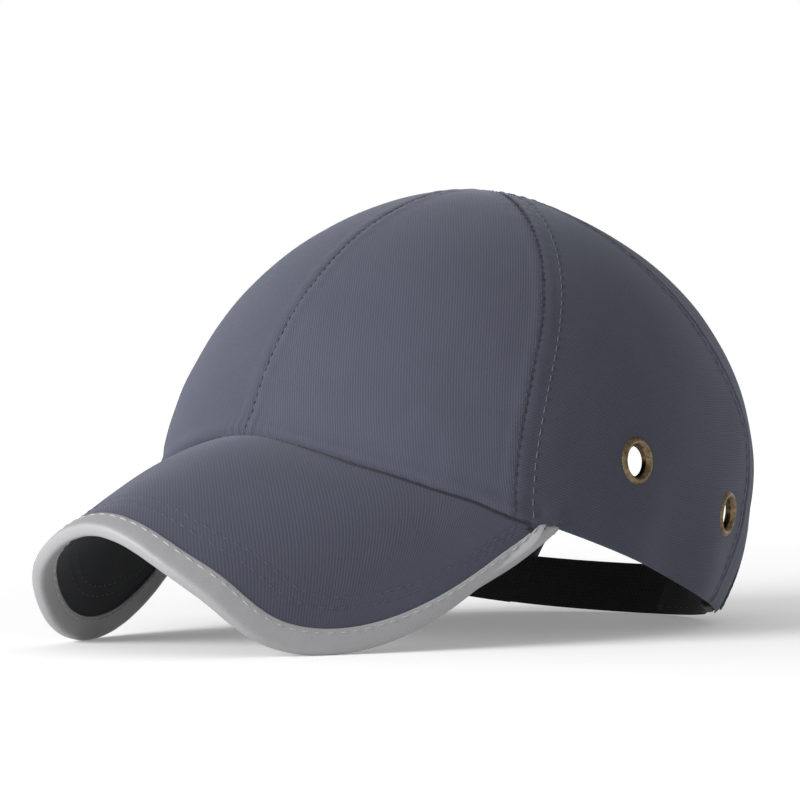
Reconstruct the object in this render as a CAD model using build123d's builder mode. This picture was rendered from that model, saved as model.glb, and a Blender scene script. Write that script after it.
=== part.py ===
from build123d import *
from math import cos, radians, sin, sqrt
import os

# Bump cap: a six-panel cloth crown over a vented plastic insert, with a curved
# visor, four metal eyelets and a hook-and-loop strap across the rear opening.
# Frame: +X to the wearer's left, -Y forward, +Z up, standing on the visor's two
# lobes and the strap. All dimensions in millimetres.

# Crown
crown_half_width = 83.2
crown_front = 87.0
crown_back = 125.4
crown_rise = 92.0
crown_tuck = 96.0
widest_level = 12.0
dome_power = 0.54
crown_lean = 0.145
crown_pitch = 7.7
crown_datum_height = 38.2
cap_shift = 11.2
dome_levels = (0, 14, 27, 39, 50, 60, 69, 77, 83, 87.5)
dome_drops = (57, 38, 19)

# Reach of the cutters, past every wall of the cap
cutter_start = -90.0
cutter_length = 220.0
cutter_floor = -60.0
beyond = 200.0

# Cloth layers, measured inwards from the outer face of the crown
cloth = 1.2
tape = 0.6
tape_width = 10.0
sweatband_thickness = 1.8
sweatband_height = 20.0
binding_cloth = 0.7
binding_width = 7.0
cut_gap = 0.05
apex_disc_radius = 12.0

# Rear opening and strap
opening_half_width = 44.0
opening_height = 64.0
opening_base = 4.0
strap_width = 17.0
web = 1.0
hook_pile = 0.5
strap_gap = 0.3
strap_inset = cloth + binding_cloth
strap_root_length = 12.0
long_strap_end = 38.0
short_strap_end = 6.0
patch_start = 4.0
strap_hinge = -41.0

# Eyelets
eyelet_bore = 4.75
eyelet_wall = 0.5
eyelet_flange = 7.5
eyelet_crown = 1.3
eyelet_seat = 0.45
washer_thickness = 0.5
eyelet_clear = 0.1
eyelet_reach = 6.0
curled_lip = 0.9
front_eyelet = (1.8, 18.0)
rear_eyelet = (60.7, 7.2)

# Visor
board = 2.0
cover = 0.8
under_cover = 0.6
trim_cloth = 0.5
trim_width = 8.0
root_reach = 8.0
least_sheet = 0.5
half_board = board / 2
visor_top = half_board + cover
visor_bottom = -half_board - under_cover

# Insert
insert_half_width = 74.0
insert_front = 78.5
insert_back = 108.0
insert_rise = 86.5
insert_base = 34.5
insert_wall = 2.2
pad_thickness = 5.0
edge_trim = 0.8
edge_trim_height = 5.0
tab_pile = 1.2
tab_width = 18.0
tab_places = (-44, 26)
tab_height = (44, 60)
vent_radius = 4.5
vent_rings = ((27, 6), (47, 10))
crown_pad_radius = 36.0
crown_pad_base = 70.0
pad_top = 66.0

crown_plane = Plane(
    origin=(0, cap_shift, crown_datum_height),
    x_dir=(1, 0, 0),
    z_dir=(0, sin(radians(crown_pitch)), cos(radians(crown_pitch))),
)
apex = (0, crown_lean * crown_rise)


def level_scale(height, rise):
    """Share of the widest outline that is left at a height over the crown plane."""
    reach = rise if height > widest_level else crown_tuck
    return (1 - ((height - widest_level) / reach) ** 2) ** dome_power


def dome(half_width, front, back, rise):
    """Solid dome of egg-shaped outlines that lean back as they climb."""
    upper = [widest_level + rise * sin(radians(angle)) for angle in dome_levels]
    lower = [widest_level - drop for drop in dome_drops]
    with BuildPart() as solid:
        for height in lower + upper:
            scale = level_scale(height, rise)
            middle = (0, crown_lean * max(height - widest_level, 0))
            with BuildSketch(crown_plane.offset(height)):
                with BuildLine():
                    EllipticalCenterArc(middle, half_width * scale, back * scale, 0, arc_size=180)
                    EllipticalCenterArc(middle, half_width * scale, front * scale, 180, arc_size=180)
                make_face()
        loft()
    return solid.part


def crown_dome(depth):
    """The crown's outer shape taken in by a depth."""
    return dome(crown_half_width - depth, crown_front - depth, crown_back - depth, crown_rise - depth)


def insert_dome(depth):
    """The insert's outer shape taken in by a depth."""
    return dome(insert_half_width - depth, insert_front - depth, insert_back - depth, insert_rise - depth)


def between(outer, inner):
    """What is left of one solid with another taken out."""
    with BuildPart() as shell:
        add(outer)
        add(inner, mode=Mode.SUBTRACT)
    return shell.part


def plan_prism(*outline):
    """Prism over a closed outline drawn on the crown plane."""
    with BuildPart() as prism:
        with BuildSketch(crown_plane.offset(cutter_start)):
            with BuildLine():
                for side in outline:
                    side()
            make_face()
        extrude(amount=cutter_length)
    return prism.part


# The rim, seen from the side: down from the visor's ends to the strap
rim_points = [
    (-31, 37.2),
    (-11, 30.7),
    (16, 22.4),
    (48, 12.6),
    (71, 7.0),
    (92, 2.8),
    (112, -0.2),
    (135, -2.2),
]
# The rim's front, seen from ahead: the arch that the visor hangs from
arch_points = [(82, 35.0), (74, 38.0), (64, 42.0), (52, 46.5), (37, 51.5), (20, 57.0), (0, 60.0)]


def below_rim(lift):
    """Everything under the rim line raised by a height."""
    side = [(y + cap_shift, z + lift) for y, z in rim_points]
    arch = [(x, z + lift) for x, z in arch_points]
    mirrored = [(-x, z) for x, z in reversed(arch[:-1])]
    front_edge = side[0][0]
    half_arch = arch[0][0]
    with BuildPart() as tool:
        with BuildSketch(Plane.YZ):
            with BuildLine():
                Spline(*side)
                Polyline(side[-1], (side[-1][0], cutter_floor), (front_edge, cutter_floor), side[0])
            make_face()
        extrude(amount=beyond, both=True)
        with BuildSketch(Plane.XZ.offset(-front_edge)):
            with BuildLine():
                Spline(*(arch + mirrored))
                Polyline(mirrored[-1], (-half_arch, cutter_floor), (half_arch, cutter_floor), arch[0])
            make_face()
        extrude(amount=beyond)
    return tool.part


def rear_arch(grow):
    """Half-moon cutter through the back of the crown."""
    half = opening_half_width + grow
    with BuildPart() as cutter:
        with BuildSketch(Plane.XZ.offset(-cap_shift - crown_back / 2)):
            with BuildLine():
                EllipticalCenterArc((0, opening_base), half, opening_height + grow, 0, arc_size=180)
                Polyline(
                    (-half, opening_base),
                    (-half, cutter_floor),
                    (half, cutter_floor),
                    (half, opening_base),
                )
            make_face()
        extrude(amount=-crown_back)
    return cutter.part


outer_skin = crown_dome(0)
cloth_face = crown_dome(cloth)
tape_face = crown_dome(cloth + tape)
band_face = crown_dome(cloth + sweatband_thickness)
cloth_layer = between(outer_skin, cloth_face)
tape_layer = between(cloth_face, tape_face)
band_layer = between(cloth_face, band_face)
under_rim = below_rim(0)
under_band = below_rim(sweatband_height)
rear_opening = rear_arch(0)

# Seams in plan view, from the apex outwards
front_seam_points = [apex, (38, -6), (65, -28), (76, -52), (82, -78)]
rear_seam_points = [apex, (36, 33), (58, 57), (65, 90), (62, 120)]


def mirrored_points(points, side):
    """Plan points on one side of the cap: 1 is its left and -1 its right."""
    return [(side * x, y) for x, y in points]


def front_sector(side):
    """Everything above and below one front panel."""
    seam = mirrored_points(front_seam_points, side)
    return plan_prism(
        lambda: Spline(*seam),
        lambda: Polyline(seam[-1], (seam[-1][0], -beyond), (0, -beyond), apex),
    )


def side_sector(side):
    """Everything above and below one side panel."""
    front_seam = mirrored_points(front_seam_points, side)
    rear_seam = mirrored_points(rear_seam_points, side)
    return plan_prism(
        lambda: Spline(*front_seam),
        lambda: Polyline(
            front_seam[-1],
            (side * beyond, front_seam[-1][1]),
            (side * beyond, rear_seam[-1][1]),
            rear_seam[-1],
        ),
        lambda: Spline(*rear_seam),
    )


def rear_sector(side):
    """Everything above and below one back panel."""
    seam = mirrored_points(rear_seam_points, side)
    return plan_prism(
        lambda: Spline(*seam),
        lambda: Polyline(seam[-1], (seam[-1][0], beyond), (0, beyond), apex),
    )


def crown_point(y, height):
    """Point and outward normal on the left of the crown, at a depth back and a height."""
    scale = level_scale(height, crown_rise)
    middle = crown_lean * max(height - widest_level, 0)
    length = crown_back if y > middle else crown_front
    x = crown_half_width * sqrt(scale**2 - ((y - middle) / length) ** 2)
    step = 0.5
    rise = (level_scale(height + step, crown_rise) - level_scale(height - step, crown_rise)) / (2 * step)
    lean = crown_lean if height > widest_level else 0
    slope = -scale * rise - lean * (y - middle) / length**2
    return (x, y, height), (x / crown_half_width**2, (y - middle) / length**2, slope)


def eyelet_plane(side, place):
    """Plane on the crown's skin at an eyelet, facing out."""
    point, normal = crown_point(*place)
    centre = crown_plane.from_local_coords(Vector(side * point[0], point[1], point[2]))
    tip = crown_plane.from_local_coords(
        Vector(side * (point[0] + normal[0]), point[1] + normal[1], point[2] + normal[2])
    )
    return Plane(origin=centre, z_dir=(tip - centre).normalized())


eyelet_planes = {
    side: [eyelet_plane(side, front_eyelet), eyelet_plane(side, rear_eyelet)] for side in (1, -1)
}


def eyelet_clearance(side):
    """Flat seats and round holes that the eyelets press into one side panel."""
    with BuildPart() as cutter:
        for plane in eyelet_planes[side]:
            with BuildSketch(plane.offset(-eyelet_seat)):
                Circle(eyelet_flange + eyelet_clear)
            extrude(amount=eyelet_reach)
            with BuildSketch(plane.offset(-cloth - cut_gap)):
                Circle(eyelet_flange + eyelet_clear)
            extrude(amount=-eyelet_reach)
            with BuildSketch(plane.offset(-eyelet_reach)):
                Circle(eyelet_bore + eyelet_wall)
            extrude(amount=2 * eyelet_reach)
    return cutter.part


os.makedirs("parts", exist_ok=True)


def save(builder, name):
    """Names a finished part and writes it as a STEP file."""
    builder.part.label = name
    export_step(builder.part, "parts/" + name + ".step")


side_names = {1: "left", -1: "right"}

# Six crown panels
for side, side_name in side_names.items():
    with BuildPart() as front_panel:
        add(cloth_layer)
        add(front_sector(side), mode=Mode.INTERSECT)
        add(under_rim, mode=Mode.SUBTRACT)
    save(front_panel, "front_panel_" + side_name)

    with BuildPart() as side_panel:
        add(cloth_layer)
        add(side_sector(side), mode=Mode.INTERSECT)
        add(under_rim, mode=Mode.SUBTRACT)
        add(eyelet_clearance(side), mode=Mode.SUBTRACT)
    save(side_panel, "side_panel_" + side_name)

    with BuildPart() as back_panel:
        add(cloth_layer)
        add(rear_sector(side), mode=Mode.INTERSECT)
        add(under_rim, mode=Mode.SUBTRACT)
        add(rear_opening, mode=Mode.SUBTRACT)
    save(back_panel, "back_panel_" + side_name)


# Tapes that cover the seams inside, down to the sweatband
def seam_ribbon(points, side=1):
    """Prism along one seam, a tape's width across."""
    with BuildPart() as prism:
        with BuildSketch(crown_plane.offset(cutter_start)):
            with BuildLine() as line:
                Spline(*mirrored_points(points, side))
            trace(line.line, line_width=tape_width)
        extrude(amount=cutter_length)
    return prism.part


with BuildPart() as apex_core:
    with BuildSketch(crown_plane.offset(crown_rise / 2)):
        with Locations(apex):
            Circle(apex_disc_radius)
    extrude(amount=crown_rise)

with BuildPart() as apex_patch:
    add(tape_layer)
    add(apex_core.part, mode=Mode.INTERSECT)
save(apex_patch, "apex_patch")

tape_runs = {
    "front_centre_tape": ([apex, (0, -40), (0, -120)], 1),
    "rear_centre_tape": ([apex, (0, 70), (0, 150)], 1),
}
for side, side_name in side_names.items():
    tape_runs["front_seam_tape_" + side_name] = (front_seam_points, side)
    tape_runs["rear_seam_tape_" + side_name] = (rear_seam_points, side)

tape_opening = rear_arch(binding_width + cut_gap)
for name, (points, side) in tape_runs.items():
    with BuildPart() as seam_tape:
        add(tape_layer)
        add(seam_ribbon(points, side), mode=Mode.INTERSECT)
        add(apex_core.part, mode=Mode.SUBTRACT)
        add(under_band, mode=Mode.SUBTRACT)
        add(tape_opening, mode=Mode.SUBTRACT)
    save(seam_tape, name)

# Binding folded over the edge of the rear opening
binding_outer = crown_dome(-binding_cloth)
binding_inner = crown_dome(cloth + binding_cloth)
with BuildPart() as opening_binding:
    add(between(binding_outer, binding_inner))
    add(rear_arch(binding_width), mode=Mode.INTERSECT)
    add(rear_arch(-binding_cloth), mode=Mode.SUBTRACT)
    add(between(cloth_layer, rear_opening), mode=Mode.SUBTRACT)
    add(under_rim, mode=Mode.SUBTRACT)
save(opening_binding, "opening_binding")

# Sweatband around the rim, from one strap root to the other
band_opening = rear_arch(strap_root_length + opening_base)
with BuildPart() as sweatband:
    add(band_layer)
    add(under_rim, mode=Mode.SUBTRACT)
    add(under_band, mode=Mode.INTERSECT)
    add(band_opening, mode=Mode.SUBTRACT)
save(sweatband, "sweatband")

# Eyelets: a flanged barrel from outside, closed over a washer inside
with BuildPart() as eyelets:
    for side in (1, -1):
        for plane in eyelet_planes[side]:
            with BuildSketch(Plane(origin=plane.origin, x_dir=plane.z_dir, z_dir=plane.x_dir)):
                with BuildLine():
                    seat = -eyelet_seat
                    foot = -cloth - cut_gap - washer_thickness
                    barrel = eyelet_bore + eyelet_wall
                    Polyline((seat, barrel), (seat, eyelet_flange))
                    Spline(
                        (seat, eyelet_flange),
                        (seat + eyelet_crown, (eyelet_flange + eyelet_bore) / 2),
                        (seat, eyelet_bore),
                    )
                    Polyline(
                        (seat, eyelet_bore),
                        (foot - eyelet_wall, eyelet_bore),
                        (foot - eyelet_wall, barrel + curled_lip),
                        (foot, barrel + curled_lip),
                        (foot, barrel),
                        (seat, barrel),
                    )
                make_face()
            revolve(axis=Axis(plane.origin, plane.z_dir))
save(eyelets, "eyelets")

with BuildPart() as eyelet_washers:
    for side in (1, -1):
        for plane in eyelet_planes[side]:
            with BuildSketch(plane.offset(-cloth - cut_gap)):
                Circle(eyelet_flange)
                Circle(eyelet_bore + eyelet_wall, mode=Mode.SUBTRACT)
            extrude(amount=-washer_thickness)
save(eyelet_washers, "eyelet_washers")

# Visor: stations from its centre to its left end, each from the crown's edge to the brim's
visor_stations = [
    ((0, -82.0, 62.6), (0, -149.3, 34.0)),
    ((15.5, -81.2, 60.6), (9, -148.8, 32.4)),
    ((30.3, -78.0, 56.4), (17.2, -147.2, 28.6)),
    ((44.0, -71.8, 51.6), (25.4, -143.6, 23.0)),
    ((55.4, -62.2, 47.0), (33.6, -135.8, 15.4)),
    ((63.0, -53.0, 43.6), (40.8, -123.6, 5.4)),
    ((68.0, -44.6, 40.6), (49.4, -104.6, 0.5)),
    ((71.8, -36.6, 38.0), (59.0, -75.0, 6.0)),
    ((74.0, -31.2, 36.4), (68.8, -46.6, 22.0)),
    ((75.0, -29.2, 36.0), (75.4, -34.2, 31.4)),
]


def visor_planes():
    """Section planes along the visor: x runs from crown to edge, y out of its top face.

    With each plane come the section's length and how squarely it meets the brim's edge.
    """
    left = [(Vector(*a), Vector(*b)) for a, b in visor_stations]
    right = [(Vector(-a.X, a.Y, a.Z), Vector(-b.X, b.Y, b.Z)) for a, b in reversed(left[1:])]
    pairs = [(a + Vector(0, cap_shift, 0), b + Vector(0, cap_shift, 0)) for a, b in right + left]
    planes = []
    for index, (root, edge) in enumerate(pairs):
        root_before, edge_before = pairs[max(index - 1, 0)]
        root_after, edge_after = pairs[min(index + 1, len(pairs) - 1)]
        reach = (edge - root).normalized()
        along_edge = edge_after - edge_before
        top = reach.cross(along_edge + root_after - root_before).normalized()
        square = reach.cross(along_edge.normalized()).length
        section = Plane(origin=root, x_dir=reach, z_dir=reach.cross(top))
        planes.append((section, (edge - root).length, square))
    return planes


visor_sections = visor_planes()


def visor_layer(low, high, reach=0.0, inset=None):
    """A layer of the visor between two heights over its middle surface, out past its edge."""
    with BuildPart() as layer:
        for index, (plane, length, square) in enumerate(visor_sections):
            from_end = min(index, len(visor_sections) - 1 - index)
            start = -root_reach * min(from_end / 4, 1)
            if inset is not None:
                start = length - min(inset / square, length - least_sheet)
            with BuildSketch(plane):
                with Locations(((length + reach + start) / 2, (low + high) / 2)):
                    Rectangle(length + reach - start, high - low)
        loft(ruled=True)
    return layer.part


visor_layers = {
    "visor_board": (-half_board, half_board),
    "visor_top_cover": (half_board, visor_top),
    "visor_bottom_cover": (visor_bottom, -half_board),
}
for name, (low, high) in visor_layers.items():
    with BuildPart() as visor_sheet:
        add(visor_layer(low, high))
        add(outer_skin, mode=Mode.SUBTRACT)
    save(visor_sheet, name)

with BuildPart() as visor_binding:
    add(visor_layer(visor_bottom - trim_cloth, visor_top + trim_cloth, trim_cloth, trim_width))
    add(visor_layer(visor_bottom, visor_top), mode=Mode.SUBTRACT)
    add(outer_skin, mode=Mode.SUBTRACT)
save(visor_binding, "visor_binding")


# Strap: a long web from the right corner over a short one from the left
def strap_piece(depth, thickness, low, high):
    """Length of the strap's path at a depth, between two places across the opening."""
    with BuildPart() as slab:
        with BuildSketch(crown_plane.offset(cutter_start)):
            with Locations(((low + high) / 2, crown_back)):
                Rectangle(high - low, crown_back)
        extrude(amount=cutter_length)
    with BuildPart() as piece:
        add(between(crown_dome(depth), crown_dome(depth + thickness)))
        add(slab.part, mode=Mode.INTERSECT)
        add(under_rim, mode=Mode.SUBTRACT)
        add(under_strap_top, mode=Mode.INTERSECT)
    return piece.part


under_strap_top = below_rim(strap_width)
root_end = opening_half_width + strap_root_length
patch_inset = 1.0
hook_depth = strap_inset + web
loop_depth = hook_depth + hook_pile + strap_gap
short_depth = loop_depth + hook_pile
strap_parts = {
    "strap_root_right": (strap_inset, web, -root_end, strap_hinge - strap_gap / 2),
    "strap_long": (strap_inset, web, strap_hinge + strap_gap / 2, long_strap_end),
    "strap_hook_patch": (hook_depth, hook_pile, patch_start, long_strap_end - patch_inset),
    "strap_root_left": (strap_inset, short_depth - strap_inset, opening_half_width, root_end),
    "strap_short": (short_depth, web, short_strap_end, root_end),
    "strap_loop_patch": (
        loop_depth,
        hook_pile,
        short_strap_end + patch_inset,
        opening_half_width - 4 * patch_inset,
    ),
}
for name, (depth, thickness, low, high) in strap_parts.items():
    with BuildPart() as strap:
        add(strap_piece(depth, thickness, low, high))
    save(strap, name)


# Insert: a vented shell with foam pads and an edge trim, held in by hook-and-loop tabs
def crown_block(low, high):
    """Box on the crown plane between two corners."""
    with BuildPart() as block:
        with BuildSketch(crown_plane.offset(low[2])):
            with Locations(((low[0] + high[0]) / 2, (low[1] + high[1]) / 2)):
                Rectangle(high[0] - low[0], high[1] - low[1])
        extrude(amount=high[2] - low[2])
    return block.part


insert_skin = insert_dome(0)
insert_lining = insert_dome(insert_wall)
pad_face = insert_dome(insert_wall + pad_thickness)
insert_top = widest_level + insert_rise
below_insert = crown_block((-beyond, -beyond, -beyond), (beyond, beyond, insert_base))
with BuildPart() as bump_shell:
    add(between(insert_skin, insert_lining))
    add(below_insert, mode=Mode.SUBTRACT)
    for ring_radius, count in vent_rings:
        with BuildSketch(crown_plane.offset(insert_base)):
            with Locations(apex):
                with PolarLocations(ring_radius, count, start_angle=90):
                    Circle(vent_radius)
        extrude(amount=insert_top, mode=Mode.SUBTRACT)
save(bump_shell, "bump_shell")

with BuildPart() as shell_edge_trim:
    add(between(insert_dome(-edge_trim), insert_dome(insert_wall + edge_trim)))
    add(
        crown_block(
            (-beyond, -beyond, insert_base - edge_trim),
            (beyond, beyond, insert_base + edge_trim_height),
        ),
        mode=Mode.INTERSECT,
    )
    add(bump_shell.part, mode=Mode.SUBTRACT)
save(shell_edge_trim, "shell_edge_trim")

pad_layer = between(insert_lining, pad_face)
pad_base = insert_base + edge_trim_height + 1
pad_blocks = {
    "front_pad": ((-32, -beyond, pad_base), (32, -20, pad_top)),
    "back_pad": ((-30, 60, pad_base), (30, beyond, pad_top)),
    "side_pad_left": ((20, -26, pad_base), (beyond, 34, pad_top)),
    "side_pad_right": ((-beyond, -26, pad_base), (-20, 34, pad_top)),
}
for name, (low, high) in pad_blocks.items():
    with BuildPart() as pad:
        add(pad_layer)
        add(crown_block(low, high), mode=Mode.INTERSECT)
    save(pad, name)

with BuildPart() as crown_pad:
    with BuildSketch(crown_plane.offset(pad_base)):
        with Locations(apex):
            Circle(crown_pad_radius)
    extrude(amount=insert_top)
    add(pad_layer, mode=Mode.INTERSECT)
    add(crown_block((-beyond, -beyond, 0), (beyond, beyond, crown_pad_base)), mode=Mode.SUBTRACT)
save(crown_pad, "crown_pad")

tab_face = insert_dome(-tab_pile)
loop_face = insert_dome(-tab_pile - strap_gap)
tab_blocks = [
    crown_block((x, y, tab_height[0]), (x + tab_width, y + crown_back, tab_height[1]))
    for x in tab_places
    for y in (-crown_back, tab_width)
]
with BuildPart() as insert_hook_tabs:
    for block in tab_blocks:
        add(block)
    add(between(tab_face, insert_skin), mode=Mode.INTERSECT)
save(insert_hook_tabs, "insert_hook_tabs")

with BuildPart() as crown_loop_tabs:
    for block in tab_blocks:
        add(block)
    add(between(cloth_face, loop_face), mode=Mode.INTERSECT)
save(crown_loop_tabs, "crown_loop_tabs")
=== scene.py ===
"""Looks of the bump cap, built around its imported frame.

Shapes are worked out in millimetres, and turned into metres when a mesh is made. The crown's own
coordinates are x to the wearer's left, y back and height up over the crown plane, which is pitched.
"""

import math

import bmesh
import bpy
import numpy as np
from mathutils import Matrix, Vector


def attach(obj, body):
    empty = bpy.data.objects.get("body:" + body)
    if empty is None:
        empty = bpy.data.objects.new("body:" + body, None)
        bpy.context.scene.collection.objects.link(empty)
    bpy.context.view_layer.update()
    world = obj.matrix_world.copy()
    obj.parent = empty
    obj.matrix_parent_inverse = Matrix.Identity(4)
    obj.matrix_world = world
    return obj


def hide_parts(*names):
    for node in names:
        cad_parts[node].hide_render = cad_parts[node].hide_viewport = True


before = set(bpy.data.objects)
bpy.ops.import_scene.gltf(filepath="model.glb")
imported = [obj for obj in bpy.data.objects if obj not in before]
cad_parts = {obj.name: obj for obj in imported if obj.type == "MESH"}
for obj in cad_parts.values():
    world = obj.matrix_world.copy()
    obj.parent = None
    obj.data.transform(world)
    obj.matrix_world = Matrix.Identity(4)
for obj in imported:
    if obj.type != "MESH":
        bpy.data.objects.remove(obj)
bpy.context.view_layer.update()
MM = 0.001

# Crown, as in the CAD
WIDEST, POWER, LEAN, TUCK = 12.0, 0.54, 0.145, 96.0
PITCH = math.radians(7.7)
DATUM, SHIFT = 38.2, 11.2
CLOTH, TAPE, TRIM = 1.2, 0.6, 0.7
APEX_Y = 13.34
FRONT_SEAM = [(0, APEX_Y), (38, -6), (65, -28), (76, -52), (82, -78)]
REAR_SEAM = [(0, APEX_Y), (36, 33), (58, 57), (65, 90), (62, 120)]
RIM_SIDE = [
    (-31, 37.2), (-11, 30.7), (16, 22.4), (48, 12.6), (71, 7.0), (92, 2.8), (112, -0.2), (135, -2.2),
]
RIM_FRONT = [(0, 60.0), (20, 57.0), (37, 51.5), (52, 46.5), (64, 42.0), (74, 38.0), (82, 35.0)]
OPENING_HALF, OPENING_RISE, OPENING_BASE = 44.0, 64.0, 4.0

# Visor: where each section leaves the crown, and where it ends. They are the CAD's, but for the last,
# which is up inside the rim and only in this file.
VISOR = [
    ((0, -82.0, 62.6), (0, -149.3, 34.0)),
    ((15.5, -81.2, 60.6), (9, -148.8, 32.4)),
    ((30.3, -78.0, 56.4), (17.2, -147.2, 28.6)),
    ((44.0, -71.8, 51.6), (25.4, -143.6, 23.0)),
    ((55.4, -62.2, 47.0), (33.6, -135.8, 15.4)),
    ((63.0, -53.0, 43.6), (40.8, -123.6, 5.4)),
    ((68.0, -44.6, 40.6), (49.4, -104.6, 0.5)),
    ((71.8, -36.6, 38.0), (59.0, -75.0, 6.0)),
    ((74.0, -31.2, 36.4), (68.8, -46.6, 22.0)),
    ((75.0, -29.2, 36.0), (75.4, -34.2, 31.4)),
    ((75.0, -24.0, 38.6), (76.2, -27.4, 37.4)),
]
VISOR_TOP, VISOR_BOARD, VISOR_BOTTOM = 1.8, 1.0, -1.6
VISOR_CLOTH_INNER = VISOR_BOARD + 0.05
# In the photo the arch of the visor stands fuller than the CAD's
ARCH_SPREAD, ARCH_SWELL = 42.0, 3.7
# Distances from the brim's edge to the two rows of stitches
VISOR_ROWS = (16.0, 20.5)

# Strap depths, from the crown's outer face inwards
WEB, PILE, STRAP_GAP, STRAP_HIGH = 1.0, 0.5, 0.3, 17.0
ROOT_END, HINGE, LONG_END, SHORT_END = 56.0, -41.0, 38.0, 6.0

# Heights over the crown plane of the pads and of the fastener patches
PAD_HEIGHTS, TAB_HEIGHTS = (40.7, 66), (44.2, 59.8)
# Radius of the hole in the cloth for an eyelet's barrel
EYELET_HOLE = 5.6
# Height over which the crown's normals are read a little beside the apex, where they have no direction
NEAR_APEX = 103.5
PATCH_RADIUS, SHELL_WALL, TAB_WIDTH = 12.0, 2.2, 18.0

SIDES = {"left": 1, "right": -1}


# ---------------- shapes in numbers
def unit(vectors):
    return vectors / np.maximum(np.linalg.norm(vectors, axis=-1, keepdims=True), 1e-9)


def curve_through(points, count):
    """Evenly spaced points on a smooth curve through the given ones."""
    points = np.array(points, float)
    run = np.concatenate([[0], np.cumsum(np.linalg.norm(np.diff(points, axis=0), axis=1))])
    gaps = np.diff(run)
    system, right = np.eye(len(points)), np.zeros_like(points)
    for i in range(1, len(points) - 1):
        system[i, i - 1 : i + 2] = gaps[i - 1], 2 * (gaps[i - 1] + gaps[i]), gaps[i]
        right[i] = 6 * (points[i + 1] - points[i]) / gaps[i] - 6 * (points[i] - points[i - 1]) / gaps[i - 1]
    bend = np.linalg.solve(system, right)
    at = np.linspace(0, run[-1], count)
    k = np.clip(np.searchsorted(run, at) - 1, 0, len(gaps) - 1)
    b = ((at - run[k]) / gaps[k])[:, None]
    a = 1 - b
    square = (gaps[k] ** 2)[:, None] / 6
    return a * points[k] + b * points[k + 1] + ((a**3 - a) * bend[k] + (b**3 - b) * bend[k + 1]) * square


def to_world(p):
    y, z = p[..., 1], p[..., 2]
    cos, sin = math.cos(PITCH), math.sin(PITCH)
    return np.stack([p[..., 0], SHIFT + y * cos + z * sin, DATUM - y * sin + z * cos], -1)


def to_crown(p):
    y, z = p[..., 1] - SHIFT, p[..., 2] - DATUM
    cos, sin = math.cos(PITCH), math.sin(PITCH)
    return np.stack([p[..., 0], y * cos - z * sin, y * sin + z * cos], -1)


def ripple(p, wave, seed):
    """Smooth bumps from about -1 to 1, a wave apart, that don't repeat."""
    draw = np.random.default_rng(seed)
    total = 0
    for _ in range(9):
        way = unit(draw.normal(size=3)) * draw.uniform(0.7, 1.4)
        total = total + np.sin(p @ way * (2 * math.pi / wave) + draw.uniform(0, 7))
    return total / 4.5


class Dome:
    """A dome of egg-shaped outlines that lean back as they climb. A depth takes it in all round."""

    def __init__(self, half_width, front, back, rise):
        self.half_width, self.front, self.back, self.rise = half_width, front, back, rise

    def share(self, height, depth=0.0):
        over = height - WIDEST
        reach = np.where(over > 0, self.rise - depth, TUCK)
        return np.maximum(1 - (over / reach) ** 2, 0) ** POWER

    def at(self, angle, height, depth=0.0):
        share = self.share(height, depth)
        length = np.where(np.sin(angle) > 0, self.back, self.front) - depth
        x = (self.half_width - depth) * share * np.cos(angle)
        y = LEAN * np.maximum(height - WIDEST, 0) + length * share * np.sin(angle)
        return np.stack([x, y, height + 0 * x], -1)

    def level(self, p, depth=0.0):
        """Below 0 inside the dome, 0 on it and above 0 outside it."""
        over = p[..., 2] - WIDEST
        along = p[..., 1] - LEAN * np.maximum(over, 0)
        length = np.where(along > 0, self.back, self.front) - depth
        reach = np.where(over > 0, self.rise - depth, TUCK)
        ring = (p[..., 0] / (self.half_width - depth)) ** 2 + (along / length) ** 2
        return ring ** (0.5 / POWER) + (over / reach) ** 2 - 1

    def slope(self, p, depth=0.0):
        step = 0.02
        moves = [np.eye(3)[i] * step for i in range(3)]
        rises = [(self.level(p + m, depth) - self.level(p - m, depth)) / (2 * step) for m in moves]
        return np.stack(rises, -1)

    def settle(self, p, depth=0.0):
        """The points moved onto the dome at a depth, straight along its normals."""
        for _ in range(8):
            slope = self.slope(p, depth)
            p = p - slope * (self.level(p, depth) / np.maximum((slope**2).sum(-1), 1e-9))[..., None]
        return p

    def normal(self, p):
        return unit(self.slope(p))

    def patch(self, x, height, end, depth=0.0):
        """Points at the dome's front, end -1, or back, end 1, from x and height."""
        share = self.share(height, depth)
        length = (self.back if end > 0 else self.front) - depth
        ring = np.maximum(share**2 - (x / (self.half_width - depth)) ** 2, 1e-6)
        y = LEAN * np.maximum(height - WIDEST, 0) + end * length * np.sqrt(ring)
        return np.stack([x + 0 * y, y, height + 0 * y], -1)

    def flank(self, y, height, side, depth=0.0):
        """Points at the dome's side from y and height."""
        along = y - LEAN * np.maximum(height - WIDEST, 0)
        length = np.where(along > 0, self.back, self.front) - depth
        ring = np.maximum(self.share(height, depth) ** 2 - (along / length) ** 2, 1e-6)
        x = side * (self.half_width - depth) * np.sqrt(ring)
        return np.stack([x, y + 0 * x, height + 0 * x], -1)


crown = Dome(83.2, 87.0, 125.4, 92.0)
insert = Dome(74.0, 78.5, 108.0, 86.5)


def height_of(turn):
    """Height over the crown plane from a turn: a quarter turn is the top, and 0 the widest level."""
    return WIDEST + crown.rise * np.where(turn > 0, np.sin(turn), turn)


rim_side = curve_through(RIM_SIDE, 400)
rim_front = curve_through([(-x, z) for x, z in RIM_FRONT[:0:-1]] + RIM_FRONT, 401)[200:]


def rim_height(world):
    """How high the rim stands, in the world, beside each point."""
    x, y = np.abs(world[..., 0]), world[..., 1] - SHIFT
    side = np.interp(y, rim_side[:, 0], rim_side[:, 1])
    front = np.interp(x, rim_front[:, 0], rim_front[:, 1])
    return np.where(y < RIM_SIDE[0][0], front, side)


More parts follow.
